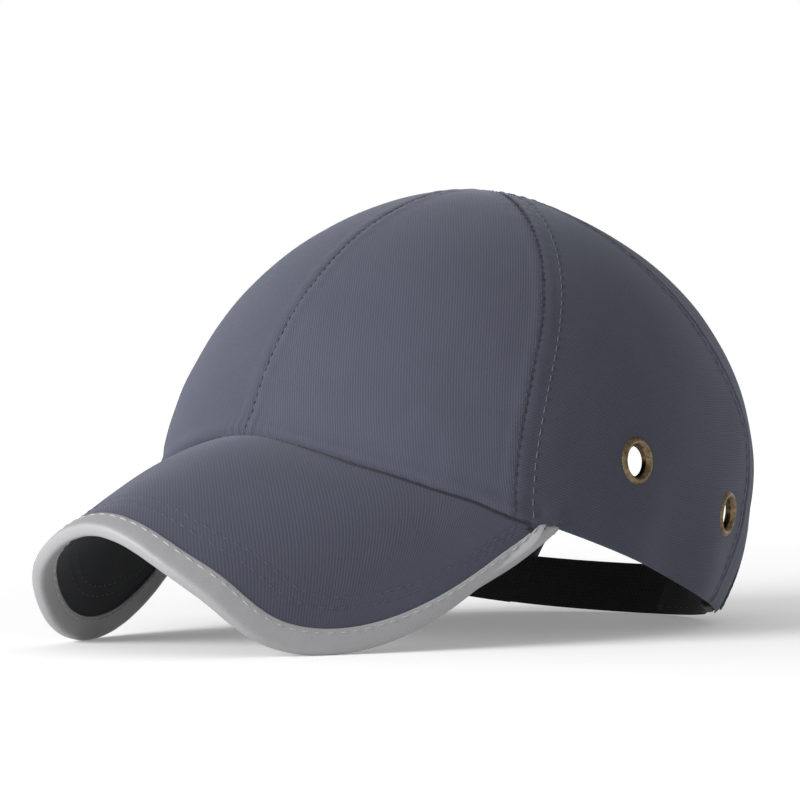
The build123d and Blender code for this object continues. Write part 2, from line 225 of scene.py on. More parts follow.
def opening_height(world):
    """How high the rear opening stands over each point, or far down where there is none."""
    share = 1 - (world[..., 0] / OPENING_HALF) ** 2
    arch = OPENING_BASE + OPENING_RISE * np.sqrt(np.maximum(share, 0))
    return np.where((share > 0) & (world[..., 1] > SHIFT + 50), arch, -99)


def back_at(x, z, depth):
    """Point in the world on the back of the crown, at x and z and a depth."""
    near, far = SHIFT + 20 + 0 * (x + z), SHIFT + 150 + 0 * (x + z)
    for _ in range(30):
        middle = (near + far) / 2
        inside = crown.level(to_crown(np.stack([x + 0 * middle, middle, z + 0 * middle], -1)), depth) < 0
        near, far = np.where(inside, middle, near), np.where(inside, far, middle)
    return np.stack([x + 0 * near, near, z + 0 * near], -1)


# ---------------- meshes
def add_object(name, data):
    obj = bpy.data.objects.new(name, data)
    bpy.context.scene.collection.objects.link(obj)
    return obj


def make_object(name, points, faces, material, body, slot, weave=None, stands_for=(), sharp=35):
    """A finished piece from points in millimetres in the world."""
    mesh = bpy.data.meshes.new(name)
    mesh.from_pydata((np.asarray(points) * MM).tolist(), [], faces)
    if weave is not None:
        attribute = mesh.attributes.new("weave", "FLOAT_VECTOR", "POINT")
        attribute.data.foreach_set("vector", np.asarray(weave, np.float32).ravel())
    work = bmesh.new()
    work.from_mesh(mesh)
    bmesh.ops.remove_doubles(work, verts=work.verts, dist=2e-6)
    bmesh.ops.recalc_face_normals(work, faces=work.faces)
    work.to_mesh(mesh)
    work.free()
    mesh.polygons.foreach_set("use_smooth", [True] * len(mesh.polygons))
    mesh.set_sharp_from_angle(angle=math.radians(sharp))
    mesh.materials.append(material)
    obj = add_object(name, mesh)
    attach(obj, body)
    if stands_for:
        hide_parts(*stands_for)
    return obj


def layer(outer, inner, keep=None, weave=None):
    """Points, faces and weave of a closed layer between two grids of points, without the cells not kept."""
    rows, columns = outer.shape[:2]
    index = np.arange(rows * columns).reshape(rows, columns)
    if np.allclose(outer[:, 0], outer[:, -1]):
        index[:, -1] = index[:, 0]
    cells = np.stack([index[:-1, :-1], index[:-1, 1:], index[1:, 1:], index[1:, :-1]], -1).reshape(-1, 4)
    if keep is not None:
        cells = cells[keep.ravel()]
    edges = np.concatenate([cells[:, [i, (i + 1) % 4]] for i in range(4)])
    _, first, uses = np.unique(np.sort(edges, 1), axis=0, return_index=True, return_counts=True)
    border = edges[first[uses == 1]]
    count = rows * columns
    walls = np.stack([border[:, 1], border[:, 0], border[:, 0] + count, border[:, 1] + count], -1)
    faces = np.concatenate([cells, cells[:, ::-1] + count, walls])
    points = np.concatenate([outer.reshape(-1, 3), inner.reshape(-1, 3)])
    used = np.unique(faces)
    place = np.zeros(2 * count, int)
    place[used] = np.arange(len(used))
    woven = None if weave is None else np.concatenate([weave.reshape(-1, 3)] * 2)[used]
    return points[used], place[faces].tolist(), woven


def make_layer(name, outer, inner, material, body, slot, keep=None, weave=None, **more):
    points, faces, woven = layer(outer, inner, keep, weave)
    return make_object(name, points, faces, material, body, slot, woven, **more)


def make_tube(name, rings, material, body, slot, weave=None, **more):
    """A solid through rings of points, capped at both ends."""
    count, around = rings.shape[:2]
    index = np.arange(count * around).reshape(count, around)
    turned = np.roll(index, -1, 1)
    faces = np.stack([index[:-1], turned[:-1], turned[1:], index[1:]], -1).reshape(-1, 4).tolist()
    faces += [index[0][::-1].tolist(), index[-1].tolist()]
    woven = None if weave is None else weave.reshape(-1, 3)
    return make_object(name, rings.reshape(-1, 3), faces, material, body, slot, woven, **more)


def grid_weave(points):
    """Cloth coordinates in millimetres: across from the middle column, and down from the last row."""
    across = np.linalg.norm(np.diff(points, axis=1), axis=-1)
    across = np.concatenate([np.zeros((len(points), 1)), np.cumsum(across, 1)], 1)
    across = across - across[:, [points.shape[1] // 2]]
    down = np.linalg.norm(np.diff(points[::-1], axis=0), axis=-1)
    down = np.concatenate([np.zeros((1, points.shape[1])), np.cumsum(down, 0)])[::-1]
    return np.stack([across, down, 0 * down], -1)


# Along one stitch: how far, and how thick it is there
STITCH_SHAPE = np.array([(0, 0.25), (0.12, 0.8), (0.35, 1), (0.65, 1), (0.88, 0.8), (1, 0.25)])
STITCH_SIDES = 6


def make_stitches(name, path, normals, material, body, slot, long=2.6, gap=1.0, thick=0.42, sink=0.1):
    """A row of thread stitches on a path, each one arched and dipping into the cloth at its ends."""
    both = np.concatenate([path, normals], 1)
    run = np.concatenate([[0], np.cumsum(np.linalg.norm(np.diff(path, axis=0), axis=1))])
    count = max(int(run[-1] // (long + gap)), 1)
    share, swell = STITCH_SHAPE.T
    starts = (np.arange(count) + 0.15) * run[-1] / count
    at = (starts[:, None] + share * long).ravel()
    line = np.stack([np.interp(at, run, column) for column in both.T], -1)
    centre, up = line[:, :3], unit(line[:, 3:])
    ahead = unit(np.stack([np.interp(at + 0.1, run, path[:, i]) for i in range(3)], -1) - centre)
    side = unit(np.cross(up, ahead))
    radius = np.tile(swell, count)[:, None] * thick / 2
    lift = np.tile(np.sin(np.pi * share), count)[:, None] * thick * 0.5 - sink
    turns = np.arange(STITCH_SIDES) * 2 * math.pi / STITCH_SIDES
    ring = (
        (centre + up * lift)[:, None]
        + side[:, None] * (radius * np.cos(turns))[..., None]
        + up[:, None] * (radius * np.sin(turns))[..., None]
    )
    index = np.arange(count * len(share) * STITCH_SIDES).reshape(count, len(share), STITCH_SIDES)
    turned = np.roll(index, -1, 2)
    faces = np.stack([index[:, :-1], turned[:, :-1], turned[:, 1:], index[:, 1:]], -1)
    faces = faces.reshape(-1, 4).tolist()
    faces += index[:, 0, ::-1].tolist() + index[:, -1].tolist()
    return make_object(name, ring.reshape(-1, 3), faces, material, body, slot, sharp=80)


# ---------------- materials
class Nodes:
    """A material's nodes, with short calls to add and join them."""

    def __init__(self, name):
        self.material = bpy.data.materials.new(name)
        self.material.use_nodes = True
        self.tree = self.material.node_tree
        self.shader = self.tree.nodes["Principled BSDF"]

    def add(self, kind, inputs=None, **settings):
        node = self.tree.nodes.new("ShaderNode" + kind)
        for key, value in settings.items():
            setattr(node, key, value)
        for key, value in (inputs or {}).items():
            if isinstance(value, bpy.types.NodeSocket):
                self.tree.links.new(value, node.inputs[key])
            else:
                node.inputs[key].default_value = value
        return node

    def math(self, operation, a, b):
        return self.add("Math", {0: a, 1: b}, operation=operation).outputs[0]

    def blend(self, first, *others):
        """The first height, and each other one times its share, added up."""
        for height, share in others:
            first = self.math("ADD", first, self.math("MULTIPLY", height, share))
        return first

    def weave(self, turn=0.0):
        """The cloth's own coordinates in millimetres, turned by an angle in degrees."""
        attribute = self.add("Attribute", attribute_name="weave")
        mapping = self.add("Mapping", {"Vector": attribute.outputs["Vector"]})
        mapping.inputs["Rotation"].default_value = (0, 0, math.radians(turn))
        return mapping.outputs["Vector"]

    def place(self):
        """The object's coordinates in millimetres."""
        coordinates = self.add("TexCoord")
        scaled = self.add("VectorMath", {0: coordinates.outputs["Object"]}, operation="SCALE")
        scaled.inputs["Scale"].default_value = 1 / MM
        return scaled.outputs["Vector"]

    def wave(self, vector, pitch, distortion=0.0, detail=0.0):
        return self.add(
            "TexWave",
            {"Vector": vector, "Scale": 0.31416 / pitch, "Distortion": distortion, "Detail": detail},
        ).outputs["Fac"]

    def noise(self, vector, size, detail=3.0, roughness=0.5):
        return self.add(
            "TexNoise",
            {"Vector": vector, "Scale": 1 / size, "Detail": detail, "Roughness": roughness},
        ).outputs["Fac"]

    def between(self, factor, low, high, dark, light):
        """A colour from dark to light as the factor goes from low to high."""
        spread = self.add("MapRange", {"Value": factor, "From Min": low, "From Max": high})
        mix = self.add("Mix", data_type="RGBA")
        self.tree.links.new(spread.outputs[0], mix.inputs["Factor"])
        mix.inputs[6].default_value = (*dark, 1)
        mix.inputs[7].default_value = (*light, 1)
        return mix.outputs[2]

    def tinted(self, colour, factor, low, high):
        """The colour made darker or lighter, from low to high, by a factor from 0 to 1."""
        spread = self.add("MapRange", {"Value": factor, "To Min": low, "To Max": high})
        return self.add("VectorMath", {0: colour, "Scale": spread.outputs[0]}, operation="SCALE").outputs[0]

    def bump(self, height, strength, distance):
        node = self.add("Bump", {"Height": height, "Strength": strength, "Distance": distance * MM})
        self.tree.links.new(node.outputs["Normal"], self.shader.inputs["Normal"])

    def finish(self, colour, roughness, **sockets):
        self.tree.links.new(colour, self.shader.inputs["Base Color"])
        if isinstance(roughness, bpy.types.NodeSocket):
            self.tree.links.new(roughness, self.shader.inputs["Roughness"])
        else:
            self.shader.inputs["Roughness"].default_value = roughness
        for key, value in sockets.items():
            self.shader.inputs[key.replace("_", " ")].default_value = value
        return self.material


def scaled(colour, by):
    return tuple(c * by for c in colour)


def twill(name, colour, turn, pitch=0.82, depth=0.14):
    """Cotton twill: slanting ribs of yarn, crossed by finer ones, with fibres and faint unevenness."""
    n = Nodes(name)
    ribs = n.wave(n.weave(turn), pitch, distortion=0.9, detail=1.5)
    yarns = n.wave(n.weave(turn + 62), pitch * 0.9, distortion=1.2, detail=1.5)
    fibres = n.noise(n.weave(turn), 0.35, 4, 0.7)
    patches = n.noise(n.place(), 22, 4, 0.6)
    height = n.blend(n.math("MULTIPLY", ribs, 0.6), (yarns, 0.22), (fibres, 0.45))
    base = n.between(height, 0.2, 0.95, scaled(colour, 0.77), scaled(colour, 1.16))
    base = n.tinted(base, patches, 0.9, 1.1)
    n.bump(height, 0.6, depth)
    tint = (0.75, 0.8, 0.95, 1)
    return n.finish(
        base, 0.92, Sheen_Weight=0.22, Sheen_Roughness=0.45, Sheen_Tint=tint, Specular_IOR_Level=0.25
    )


def plain_cloth(name, colour, pitch=0.6, depth=0.12, roughness=0.9, sheen=0.1):
    """Plain weave: two sets of yarns at right angles."""
    n = Nodes(name)
    warp = n.wave(n.weave(0), pitch, distortion=0.6, detail=1)
    weft = n.wave(n.weave(90), pitch, distortion=0.6, detail=1)
    fibres = n.noise(n.weave(0), 0.3, 4, 0.7)
    height = n.blend(n.math("MULTIPLY", warp, 0.4), (weft, 0.4), (fibres, 0.3))
    base = n.between(height, 0.2, 0.9, scaled(colour, 0.6), scaled(colour, 1.3))
    base = n.tinted(base, n.noise(n.place(), 15), 0.88, 1.12)
    n.bump(height, 0.7, depth)
    return n.finish(base, roughness, Sheen_Weight=sheen, Sheen_Roughness=0.5, Specular_IOR_Level=0.3)


def reflective_tape(name, colour):
    """Grey reflective fabric: fine glass beads on a smooth tape, with faint creases."""
    n = Nodes(name)
    beads = n.noise(n.place(), 0.22, 2, 0.6)
    creases = n.noise(n.weave(0), 4.5, 3, 0.5)
    base = n.between(beads, 0.3, 0.7, scaled(colour, 0.88), scaled(colour, 1.1))
    base = n.tinted(base, n.noise(n.place(), 12), 0.93, 1.06)
    n.bump(n.blend(creases, (beads, 0.15)), 0.35, 0.25)
    rough = n.add("MapRange", {"Value": beads, "To Min": 0.42, "To Max": 0.62}).outputs[0]
    return n.finish(base, rough, Specular_IOR_Level=0.45)


def pile(name, colour, size=0.5, depth=0.3):
    """Hook or loop pile: a dense field of small tufts."""
    n = Nodes(name)
    cells = n.add("TexVoronoi", {"Vector": n.place(), "Scale": 1 / size}).outputs["Distance"]
    tufts = n.blend(cells, (n.noise(n.place(), 0.3, 4, 0.7), 0.6))
    base = n.between(tufts, 0.3, 1.1, scaled(colour, 1.5), scaled(colour, 0.5))
    n.bump(tufts, 0.8, -depth)
    return n.finish(base, 0.85, Sheen_Weight=0.2, Sheen_Roughness=0.6, Specular_IOR_Level=0.3)


def thread(name, colour):
    """Twisted polyester thread."""
    n = Nodes(name)
    twist = n.noise(n.place(), 0.25, 2, 0.5)
    base = n.between(twist, 0.3, 0.7, scaled(colour, 0.7), scaled(colour, 1.25))
    n.bump(twist, 0.5, 0.08)
    return n.finish(base, 0.6, Sheen_Weight=0.1, Specular_IOR_Level=0.4)


def antique_brass(name):
    """Brushed brass darkened with age, brighter where it is rubbed."""
    n = Nodes(name)
    age = n.noise(n.place(), 1.6, 5, 0.65)
    fine = n.noise(n.place(), 0.25, 3, 0.6)
    base = n.between(age, 0.35, 0.68, (0.26, 0.187, 0.102), (0.080, 0.056, 0.033))
    base = n.tinted(base, fine, 0.8, 1.15)
    rough = n.add("MapRange", {"Value": age, "To Min": 0.24, "To Max": 0.5}).outputs[0]
    n.bump(n.blend(fine, (age, 0.6)), 0.35, 0.06)
    return n.finish(base, rough, Metallic=1.0)


def moulded(name, colour, roughness, grain=0.5, depth=0.05):
    """Moulded plastic or rubber with a fine spark-eroded grain."""
    n = Nodes(name)
    cells = n.add("TexVoronoi", {"Vector": n.place(), "Scale": 1 / grain}).outputs["Distance"]
    flow = n.noise(n.place(), 14, 3, 0.5)
    base = n.between(flow, 0.3, 0.7, scaled(colour, 0.85), scaled(colour, 1.2))
    rough = n.add("MapRange", {"Value": flow, "To Min": roughness - 0.06, "To Max": roughness + 0.08})
    n.bump(n.blend(cells, (flow, 0.4)), 0.4, depth)
    return n.finish(base, rough.outputs[0], Specular_IOR_Level=0.5)


SLATE = (0.054, 0.057, 0.080)
front_twill = twill("front twill", SLATE, 14)
# Painted shade: the side and back panels are the front panels' cloth made darker, standing in for the shade
# on the sides that turn from the light
side_twill = twill("side twill with painted shade", scaled(SLATE, 0.75), 84)
back_twill_painted_shade = twill("back twill with painted shade", scaled(SLATE, 0.8), 14)
visor_twill = twill("visor twill", scaled(SLATE, 0.97), 40)
# The visor's lining is dark cloth, darkened further as painted shade under the visor
lining = plain_cloth("visor lining with painted shade", (0.006, 0.007, 0.010), 0.7)
black_tape = plain_cloth("seam tape", (0.014, 0.014, 0.017), 0.5)
binding_cloth = plain_cloth("opening binding", scaled(SLATE, 0.7), 0.55)
terry = plain_cloth("sweatband cloth", (0.016, 0.017, 0.020), 0.9, 0.25, sheen=0.3)
webbing = plain_cloth("strap web", (0.012, 0.012, 0.014), 1.3, 0.3, 0.75)
hook_pile = pile("hook pile", (0.016, 0.016, 0.018), 0.45)
loop_pile = pile("loop pile", (0.020, 0.020, 0.023), 0.6, 0.4)
pad_cloth = plain_cloth("pad cloth", (0.03, 0.032, 0.038), 0.8, 0.2, sheen=0.25)
reflective = reflective_tape("reflective tape", (0.275, 0.273, 0.280))
slate_thread = thread("slate thread", scaled(SLATE, 1.35))
visor_thread = thread("visor thread", scaled(SLATE, 0.9))
# Dark thread for the front centre's stitches, also used as painted shadow in the front seams' creases
dark_thread_and_painted_shadow = thread("dark thread and painted shadow", scaled(SLATE, 0.6))
grey_thread = thread("grey thread", (0.33, 0.33, 0.34))
# Painted shadow: near black, for the cord that stands in for the shade in the crease between the visor and
# the crown
painted_crease_shadow = thread("painted crease shadow", scaled(SLATE, 0.2))
black_thread = thread("black thread", (0.02, 0.02, 0.024))
brass = antique_brass("antique brass")
shell_plastic = moulded("shell plastic", (0.022, 0.023, 0.026), 0.42)
rubber = moulded("edge rubber", (0.016, 0.016, 0.018), 0.62, 0.35)
board_plastic = moulded("visor board", (0.05, 0.05, 0.055), 0.5)


# ---------------- crown
ROWS = 150
LOWEST_TURN = -0.75
turns = np.linspace(LOWEST_TURN, math.pi / 2, 420)
heights = height_of(turns)


def seam_angles(points):
    """The angle round the dome at which a seam stands, at each of the heights."""
    plan = curve_through(points, 600)
    angles = []
    for height, share in zip(heights, crown.share(heights)):
        along = plan[:, 1] - LEAN * max(height - WIDEST, 0)
        length = np.where(along > 0, crown.back, crown.front)
        ring = np.sqrt((plan[:, 0] / crown.half_width) ** 2 + (along / length) ** 2) - share
        k = int(np.argmax(ring > 0)) if (ring > 0).any() else len(ring) - 1
        k = max(k, 1)
        part = np.clip(-ring[k - 1] / (ring[k] - ring[k - 1] + 1e-9), 0, 1)
        x = plan[k - 1, 0] + part * (plan[k, 0] - plan[k - 1, 0])
        y = along[k - 1] + part * (along[k] - along[k - 1])
        angles.append(math.atan2(y / length[k], x / crown.half_width))
    return np.array(angles)


front_centre = np.full(len(turns), -math.pi / 2)
front_seam = seam_angles(FRONT_SEAM)
rear_seam = seam_angles(REAR_SEAM)
rear_centre = np.full(len(turns), math.pi / 2)
seam_lines = {
    "front_centre": crown.at(front_centre, heights),
    "front_seam": crown.at(front_seam, heights),
    "rear_seam": crown.at(rear_seam, heights),
    "rear_centre": crown.at(rear_centre, heights),
}
MIRROR = np.array([-1, 1, 1])
mirrored = [seam_lines[name] * MIRROR for name in ("front_seam", "rear_seam")]
all_seams = np.concatenate([line[::2] for line in [*seam_lines.values(), *mirrored]])

# Visor sections, from the wearer's right to left
stations = [(*a, *b) for a, b in VISOR]
stations = [(-a, b, c, -d, e, f) for a, b, c, d, e, f in stations[:0:-1]] + stations
sections = curve_through(stations, 241)
visor_root = sections[:, :3] + (0, SHIFT, 0)
visor_edge = sections[:, 3:] + (0, SHIFT, 0)
visor_long = np.linalg.norm(visor_edge - visor_root, axis=1)
visor_reach = unit(visor_edge - visor_root)
visor_up = unit(np.cross(visor_reach, np.gradient((visor_root + visor_edge) / 2, axis=0)))


visor_square = np.linalg.norm(np.cross(visor_reach, unit(np.gradient(visor_edge, axis=0))), axis=1)
visor_square = np.maximum(visor_square, 0.25)
arch_swell = ARCH_SWELL * np.exp(-((visor_edge[:, 0] / ARCH_SPREAD) ** 6))


def visor_at(reach, over):
    """Points on the visor's sections, at a reach from the crown and a height over its middle surface."""
    reach = np.asarray(reach, float)
    each = (slice(None), None)[: reach.ndim]
    share = np.clip(reach / visor_long[each], 0, 1)
    over = over + arch_swell[each] * (1 - (1 - share) ** 5)
    return visor_root[each] + visor_reach[each] * reach[..., None] + visor_up[each] * over[..., None]


def visor_start(over, depth):
    """The reach at which each section comes out of the crown, at a depth in its cloth."""
    trial = np.linspace(-8, 1, 200) * np.where(np.linspace(-8, 1, 200) < 0, 1, visor_long[:, None])
    inside = crown.level(to_crown(visor_at(trial, over)), depth) < 0
    last = inside.shape[1] - 1 - np.argmax(inside[:, ::-1], 1)
    found = trial[np.arange(len(trial)), np.minimum(last, trial.shape[1] - 1)]
    return np.where(inside.any(1), np.minimum(found, visor_long - 0.6), 0)


join = visor_at(visor_start(VISOR_TOP, 0.0), VISOR_TOP)


def nearest(points, line):
    """Distance from each point to the nearest of a line's points, and which it is."""
    flat = points.reshape(-1, 3).astype(np.float32)
    line = line.astype(np.float32)
    far, which = [], []
    for part in np.array_split(flat, max(len(flat) // 4000, 1)):
        gaps = ((part[:, None] - line[None]) ** 2).sum(-1)
        which.append(gaps.argmin(1))
        far.append(np.sqrt(gaps.min(1)))
    return np.concatenate(far).reshape(points.shape[:-1]), np.concatenate(which).reshape(points.shape[:-1])


def relief(p):
    """How far the crown's cloth stands out from the plain dome: rolled seams, puckers and soft waves."""
    world = to_world(p)
    seam, _ = nearest(p, all_seams)
    edge, which = nearest(world, join)
    over_join = world[..., 2] - join[which, 2]
    low = np.clip(1 - (world[..., 2] - 60) / 70, 0.25, 1)
    out = 0.55 * low * ripple(world, 46, 3) + 0.16 * ripple(world, 17, 8) * low
    out += -0.4 * np.exp(-((seam / 0.6) ** 2)) + 0.22 * np.exp(-(((seam - 2.4) / 1.8) ** 2))
    out += 0.12 * ripple(world, 5.5, 11) * np.exp(-((seam / 5.5) ** 2))
    above = over_join > -0.5
    roll = 1.05 * np.exp(-(((edge - 2.6) / 2.4) ** 2)) - 1.3 * np.exp(-((edge / 0.8) ** 2))
    out += np.where(above, roll, 0)
    pinch = np.exp(-((edge / 7) ** 2)) * np.exp(-((world[..., 0] / 9) ** 2)) * above
    return out + pinch * 0.22 * np.cos(world[..., 0] * 2.1 + 0.6)


def raised(p):
    """Points in the world on the crown's finished cloth."""
    return to_world(p + crown.normal(p) * relief(p)[..., None])


eyelet_planes = {}
for side_name, side in SIDES.items():
    for place, (y, height) in {"front": (1.8, 18.0), "rear": (60.7, 7.2)}.items():
        p = crown.flank(np.array(y), np.array(height), side)
        axis = to_world(p + crown.normal(p)) - to_world(p)
        eyelet_planes[side_name, place] = (to_world(p), axis)


def open_eyelets(grids, side_name):
    """Moves the cloth's points clear of the eyelets' barrels and says which cells stay."""
    rows, columns = grids[0].shape[:2]
    keep = np.ones((rows - 1, columns - 1), bool)
    for (name, _), (centre, axis) in eyelet_planes.items():
        if name != side_name:
            continue
        away = grids[0] - centre
        away = away - (away @ axis)[..., None] * axis
        far = np.linalg.norm(away, axis=-1)
        near = np.linalg.norm(grids[0] - centre, axis=-1) < 20
        gone = near & (far < EYELET_HOLE)
        cell = gone[:-1, :-1] | gone[1:, :-1] | gone[:-1, 1:] | gone[1:, 1:]
        keep &= ~cell
        corner = np.zeros((rows, columns), bool)
        for i, j in ((0, 0), (1, 0), (0, 1), (1, 1)):
            corner[i : rows - 1 + i, j : columns - 1 + j] |= cell
        border = corner & ~gone
        for grid in grids:
            grid[border] -= away[border] * ((far[border] - EYELET_HOLE) / far[border])[:, None]
    return keep


def make_panel(name, first, last, side_name, columns, material, slot, opening=False):
    """One crown panel between two seams, hemmed at the rim and rolled in at the seams."""
    side = SIDES[side_name]
    share = (1 - np.cos(np.linspace(0, math.pi, columns))) / 2
    share = 0.6 * share + 0.4 * np.linspace(0, 1, columns)
    angle = first[:, None] * (1 - share) + last[:, None] * share
    world = to_world(crown.at(angle, heights[:, None]))
    floor = rim_height(world)
    if opening:
        floor = np.maximum(floor, opening_height(world))
    under = world[..., 2] < floor
    start = len(turns) - np.argmax(under[::-1], 0)
    picked = np.arange(columns)
    gap = world[..., 2] - floor
    low, high = gap[start - 1, picked], gap[np.minimum(start, len(turns) - 1), picked]
    part = np.clip(-low / np.maximum(high - low, 1e-6), 0, 1)
    bottom = turns[start - 1] + part * (turns[1] - turns[0])
    climb = np.linspace(0, 1, ROWS) ** 1.15
    turn = bottom + (math.pi / 2 - bottom) * climb[:, None]
    here = np.stack([np.interp(turn[:, j], turns, angle[:, j]) for j in range(columns)], 1)
    p = crown.at(here, height_of(turn)) * (side, 1, 1)
    under_p = crown.at(here, height_of(turn), CLOTH) * (side, 1, 1)
    out = relief(p)
    hem = np.exp(-((np.linalg.norm(to_world(p) - to_world(p[:1]), axis=-1) / 0.7) ** 2))
    normal = crown.normal(np.where(p[..., 2:] > NEAR_APEX, p + (0.3, 0.3, -0.3), p))
    normal[-1] = (0, 0, 1)
    outer = to_world(p + normal * (out - 0.35 * hem)[..., None])
    inner = to_world(under_p + normal * (out + 0.35 * hem)[..., None])
    keep = open_eyelets([outer, inner], side_name) if slot == "side_twill" else None
    weave = grid_weave(to_world(p))
    weave[..., 0] *= side
    obj = make_layer(
        name + "_cloth", outer, inner, material, "cap", slot, keep=keep, weave=weave, stands_for=[name]
    )


for side_name in SIDES:
    make_panel(
        "front_panel_" + side_name, front_centre, front_seam, side_name, 110, front_twill, "front_twill"
    )
    make_panel("side_panel_" + side_name, front_seam, rear_seam, side_name, 150, side_twill, "side_twill")
    make_panel(
        "back_panel_" + side_name, rear_seam, rear_centre, side_name, 130, back_twill_painted_shade, "side_twill",
        opening=True,
    )


def seam_path(name, side, away, bottom=0.0):
    """Crown points beside a seam, from the rim to near the top, at a distance away from it."""
    line = seam_lines[name][turns < 1.5] * (side, 1, 1)
    normal = crown.normal(line)
    across = unit(np.cross(normal, np.gradient(line, axis=0)))
    path = crown.settle(line + across * away)
    world = to_world(path)
    floor = rim_height(world) + bottom
    if name.startswith("front"):
        _, which = nearest(world, join)
        floor = np.maximum(floor, join[which, 2] + 1.2)
    floor = np.maximum(floor, opening_height(world) + (8 if world[0, 1] > 60 else 0))
    return path[world[..., 2] > floor]


def stitched_seam(name, seam, side, away, material, **sizes):
    path = seam_path(seam, side, away)
    normals = to_world(path + crown.normal(path)) - to_world(path)
    make_stitches(name, raised(path), normals, material, "cap", "front_twill", **sizes)


stitched_seam(
    "front_centre_stitches", "front_centre", 1, 0.0, dark_thread_and_painted_shadow, long=1.6, gap=1.4, thick=0.4, sink=0.0
)
for side_name, side in SIDES.items():
    stitched_seam("front_topstitch_" + side_name, "front_seam", side, -5.8 * side, slate_thread)
    # Painted shadow: a row of dark stitches in the crease of each front seam stands in for the seam's shade
    stitched_seam("front_crease_painted_shadow_" + side_name, "front_seam", side, 0.9 * side, dark_thread_and_painted_shadow, long=1.8)
    stitched_seam("rear_topstitch_" + side_name, "rear_seam", side, 3.2 * side, slate_thread)
    stitched_seam("rear_centre_topstitch_" + side_name, "rear_centre", 1, 3.2 * side, slate_thread)


# ---------------- tapes and sweatband inside
INSIDE = CLOTH + 0.15
TAPE_WIDTH = 10.0


def make_tape(name, path):
    """A flat tape on the inside of the crown, along a path of crown points."""
    across = unit(np.cross(crown.normal(path), np.gradient(path, axis=0)))
    places = np.linspace(-0.5, 0.5, 9) * TAPE_WIDTH
    grid = path[:, None] + across[:, None] * places[None, :, None]
    swell = 0.25 * (1 - (2 * np.abs(places) / TAPE_WIDTH) ** 4)
    outer = crown.settle(grid, INSIDE)
    inner = crown.settle(grid, CLOTH + TAPE)
    waves = 0.12 * ripple(grid, 9, 21)
    inner = inner + crown.normal(grid) * (waves - swell)[..., None]
    make_layer(
        name + "_cloth", to_world(outer), to_world(inner), black_tape, "cap", "seam_tape",
        weave=grid_weave(to_world(inner)), stands_for=[name],
    )


tape_runs = [("front_centre_tape", "front_centre", 1), ("rear_centre_tape", "rear_centre", 1)]
for side_name, side in SIDES.items():
    tape_runs += [(f"{seam}_tape_{side_name}", seam, side) for seam in ("front_seam", "rear_seam")]
for name, seam, side in tape_runs:
    path = seam_path(seam, side, 0.0, bottom=19.0)[::4]
    make_tape(name, path[np.linalg.norm(path[:, :2] - (0, APEX_Y), axis=1) > PATCH_RADIUS - 1])

radii, angles = np.meshgrid(np.linspace(0, PATCH_RADIUS, 14), np.linspace(0, 2 * math.pi, 49), indexing="ij")
disc = np.stack([radii * np.cos(angles), APEX_Y + radii * np.sin(angles), 104 - radii**2 / 90], -1)
patch_outer, patch_inner = (to_world(crown.settle(disc, depth)) for depth in (INSIDE, CLOTH + TAPE + 0.2))
make_layer(
    "apex_patch_cloth", patch_outer, patch_inner, black_tape, "cap", "seam_tape",
    weave=disc * (1, 1, 0), stands_for=["apex_patch"],
)

band_angles = np.linspace(math.radians(32), math.radians(-212), 300)
band_turns = np.linspace(LOWEST_TURN, 0.9, 400)
band_world = to_world(crown.at(band_angles[None], height_of(band_turns)[:, None], INSIDE))
band_gap = band_world[..., 2] - rim_height(band_world)


def band_turn(lift):
    """The turn at which each of the sweatband's columns is a height over the rim."""
    return np.array([np.interp(lift, band_gap[:, j], band_turns) for j in range(len(band_angles))])


lifts = np.linspace(0.6, 19.6, 18)
band_grid = np.stack([band_turn(lift) for lift in lifts])
band_round = 1 - np.abs(2 * (lifts - lifts[0]) / (lifts[-1] - lifts[0]) - 1) ** 6
band_heights = height_of(band_grid)
thickness = 1.15 + 0.5 * band_round[:, None] + 0.08 * ripple(crown.at(band_angles, band_heights), 7, 5)
band_outer = to_world(crown.at(band_angles, band_heights, INSIDE))
band_inner = to_world(crown.at(band_angles, band_heights, INSIDE + thickness))
make_layer(
    "sweatband_cloth", band_outer, band_inner, terry, "cap", "sweatband",
    weave=grid_weave(band_inner), stands_for=["sweatband"],
)
for row, name in ((2, "sweatband_lower_stitches"), (15, "sweatband_upper_stitches")):
    inward = unit(band_inner[row] - band_outer[row])
    make_stitches(name, band_inner[row], inward, black_thread, "cap", "sweatband", sink=0.05)

# Binding folded over the edge of the rear opening
sweep = np.linspace(0.01, math.pi - 0.01, 150)
arch = np.stack([OPENING_HALF * np.cos(sweep), OPENING_BASE + OPENING_RISE * np.sin(sweep)], -1)
arch_out = unit(np.stack([np.cos(sweep) / OPENING_HALF, np.sin(sweep) / OPENING_RISE], -1))
FOLD = [
    (7.0, -0.1), (7.0, -0.45), (6.7, -0.66), (5.0, -0.7), (3.0, -0.72), (1.0, -0.7), (0.1, -0.62),
    (-0.42, -0.25), (-0.6, 0.6), (-0.42, 1.45), (0.1, 1.8), (1.0, 1.9), (3.0, 1.92), (5.0, 1.9),
    (6.7, 1.85), (7.0, 1.6), (7.0, 1.3), (0.4, 1.3), (0.4, -0.1),
]


def folded_over(profile):
    """Points on the opening's edge: each profile point is a distance from the edge and a depth."""
    rings = []
    for away, depth in profile:
        spot = arch + arch_out * away
        rings.append(back_at(spot[:, 0], np.maximum(spot[:, 1], 1.0), depth))
    return np.stack(rings, 1)


